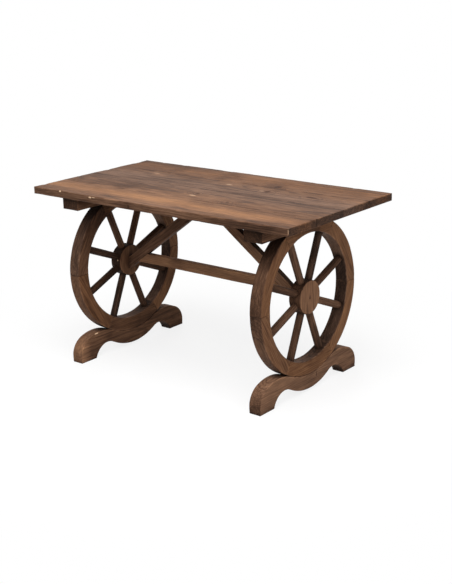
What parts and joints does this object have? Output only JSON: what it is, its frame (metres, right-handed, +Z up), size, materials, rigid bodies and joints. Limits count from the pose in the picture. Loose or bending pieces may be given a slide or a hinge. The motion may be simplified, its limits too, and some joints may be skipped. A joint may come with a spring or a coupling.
{
  "type": "garden coffee table",
  "caption": "Rustic plank-topped garden coffee table standing on wagon wheels let into wavy feet, braced by diagonals and a stretcher.",
  "frame": {"origin": "on the floor under the middle of the tabletop", "axes": "+X along the tabletop from the left wheel to the right wheel, +Y to the back, +Z up"},
  "size_m": [1.13, 0.6, 0.65],
  "materials": {
    "top_wood": "worn brown stain, dull",
    "frame_wood": "dark brown stain, dull",
    "screw_steel": "zinc plated"
  },
  "bodies": {
    "root": {"batten_screws": "screw_steel", "brace_screws": "screw_steel", "centre_batten": "frame_wood", "centre_batten_screws": "screw_steel", "felloe_dowels": "frame_wood", "foot_screws": "screw_steel", "front_middle_plank": "top_wood", "front_plank": "top_wood", "hub_plugs": "frame_wood", "hub_screws": "screw_steel", "left_batten": "frame_wood", "left_brace": "frame_wood", "left_felloe_1": "frame_wood", "left_felloe_2": "frame_wood", "left_felloe_3": "frame_wood", "left_felloe_4": "frame_wood", "left_felloe_5": "frame_wood", "left_felloe_6": "frame_wood", "left_foot": "frame_wood", "left_hub": "frame_wood", "left_spoke_1": "frame_wood", "left_spoke_2": "frame_wood", "left_spoke_3": "frame_wood", "left_spoke_4": "frame_wood", "left_spoke_5": "frame_wood", "left_spoke_6": "frame_wood", "left_spoke_7": "frame_wood", "left_spoke_8": "frame_wood", "rear_middle_plank": "top_wood", "rear_plank": "top_wood", "right_batten": "frame_wood", "right_brace": "frame_wood", "right_felloe_1": "frame_wood", "right_felloe_2": "frame_wood", "right_felloe_3": "frame_wood", "right_felloe_4": "frame_wood", "right_felloe_5": "frame_wood", "right_felloe_6": "frame_wood", "right_foot": "frame_wood", "right_hub": "frame_wood", "right_spoke_1": "frame_wood", "right_spoke_2": "frame_wood", "right_spoke_3": "frame_wood", "right_spoke_4": "frame_wood", "right_spoke_5": "frame_wood", "right_spoke_6": "frame_wood", "right_spoke_7": "frame_wood", "right_spoke_8": "frame_wood", "rim_screws": "screw_steel", "stretcher": "frame_wood", "stretcher_screws": "screw_steel"}
  },
  "joints": []
}
